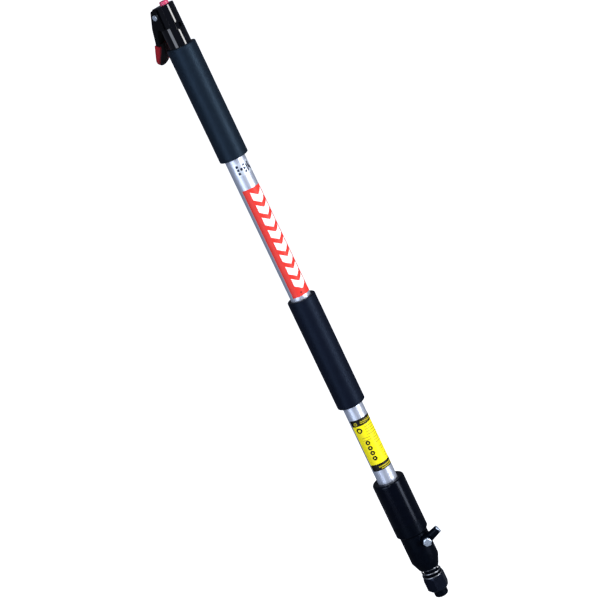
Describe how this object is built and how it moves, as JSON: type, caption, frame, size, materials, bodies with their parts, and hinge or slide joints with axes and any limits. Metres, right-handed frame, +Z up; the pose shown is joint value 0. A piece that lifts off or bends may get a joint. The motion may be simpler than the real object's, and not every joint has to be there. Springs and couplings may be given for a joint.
{
  "type": "long-reach pneumatic chisel scaler",
  "caption": "Long-reach air chisel scaler: straight tube handle with foam grips, a squeeze-lever throttle at the top and an air hammer with a quick-release chisel socket below.",
  "frame": {"origin": "centre of the chisel socket's mouth, at the lower end of the tool's nose", "axes": "+Z up the tool axis from the chisel socket to the throttle head; +Y towards the throttle lever; the labels and the throttle's valve plug are on the -Y side"},
  "size_m": [0.062, 0.1204, 1.217],
  "materials": {
    "head_black": "gloss black anodised",
    "lever_black": "satin black paint",
    "lever_vinyl": "dipped vinyl, semi-gloss",
    "zinc_steel": "bright zinc plated",
    "machined_steel": "ground",
    "dark_steel": "black oxide",
    "spring_steel": "oil-tempered wire",
    "brass_valve": "turned",
    "seal_rubber": "matte",
    "plug_plastic": "translucent moulded",
    "tube_aluminium": "satin extruded",
    "upper_foam": "closed-cell foam",
    "lower_foam": "closed-cell foam",
    "plate_silver": "matte foil",
    "label_red": "printed vinyl film",
    "label_yellow": "printed vinyl film",
    "collar_black": "satin black anodised",
    "barrel_black": "matte black phosphate",
    "chest_steel": "turned"
  },
  "bodies": {
    "tool_body": {"throttle_body": "head_black", "lever_pivot_pin": "zinc_steel", "pivot_ring": "machined_steel", "push_pin_o_ring": "seal_rubber", "valve_spring": "spring_steel", "valve_cap_plug": "dark_steel", "cap_o_ring": "seal_rubber", "inlet_screen": "brass_valve", "tube_set_screw": "zinc_steel", "head_o_ring": "seal_rubber", "handle_tube": "tube_aluminium", "upper_grip": "upper_foam", "lower_grip": "lower_foam", "data_plate": "plate_silver", "front_label": "label_red", "yellow_label": "label_yellow", "coupling_collar": "collar_black", "tube_o_ring": "seal_rubber", "valve_cover": "chest_steel", "valve_block": "chest_steel", "valve_dowel": "machined_steel", "hammer_barrel": "barrel_black", "hammer_nose": "barrel_black", "chisel_bushing": "machined_steel", "retaining_balls": "machined_steel", "retainer_spring": "spring_steel", "snap_ring": "machined_steel", "exhaust_bolt": "zinc_steel", "exhaust_washer": "zinc_steel"},
    "lever": {"throttle_lever": "lever_black", "lever_sleeve": "lever_vinyl"},
    "valve_stem": {"push_pin": "machined_steel", "throttle_valve": "brass_valve"},
    "inlet_plug": {"inlet_plug": "plug_plastic"},
    "valve_disc": {"valve_disc": "machined_steel"},
    "piston": {"piston": "machined_steel"},
    "retainer_sleeve": {"retainer_sleeve": "dark_steel"},
    "exhaust_deflector": {"exhaust_deflector": "barrel_black", "exhaust_screen": "zinc_steel"}
  },
  "joints": [
    {"name": "lever_hinge", "type": "hinge", "parent": "tool_body", "child": "lever", "pos_m": [0, 0.009, 1.196], "axis": [-1, 0, 0], "range_deg": [0, 10], "stiffness_Nm_per_rad": 0.6, "springref_deg": -20.05},
    {"name": "valve_slide", "type": "slide", "parent": "tool_body", "child": "valve_stem", "axis": [0, -1, 0], "range_m": [0, 0.00614]},
    {"name": "inlet_plug_pull", "type": "slide", "parent": "tool_body", "child": "inlet_plug", "axis": [0, 0, 1], "range_m": [0, 0.02]},
    {"name": "valve_disc_slide", "type": "slide", "parent": "tool_body", "child": "valve_disc", "axis": [0, 0, 1], "range_m": [0, 0.0012]},
    {"name": "piston_slide", "type": "slide", "parent": "tool_body", "child": "piston", "axis": [0, 0, 1], "range_m": [0, 0.05]},
    {"name": "retainer_slide", "type": "slide", "parent": "tool_body", "child": "retainer_sleeve", "axis": [0, 0, 1], "range_m": [0, 0.007], "stiffness_N_per_m": 2500, "springref_m": -0.006, "deforming": ["retainer_spring"]},
    {"name": "exhaust_swivel", "type": "hinge", "parent": "tool_body", "child": "exhaust_deflector", "pos_m": [0.01256, -0.01054, 0.1225], "axis": [-0.6428, -0.766, 0], "range_deg": [-40, 15]}
  ],
  "couplings": [
    {"joint": "valve_slide", "follows": "lever_hinge", "m_per_rad": 0.0351}
  ]
}
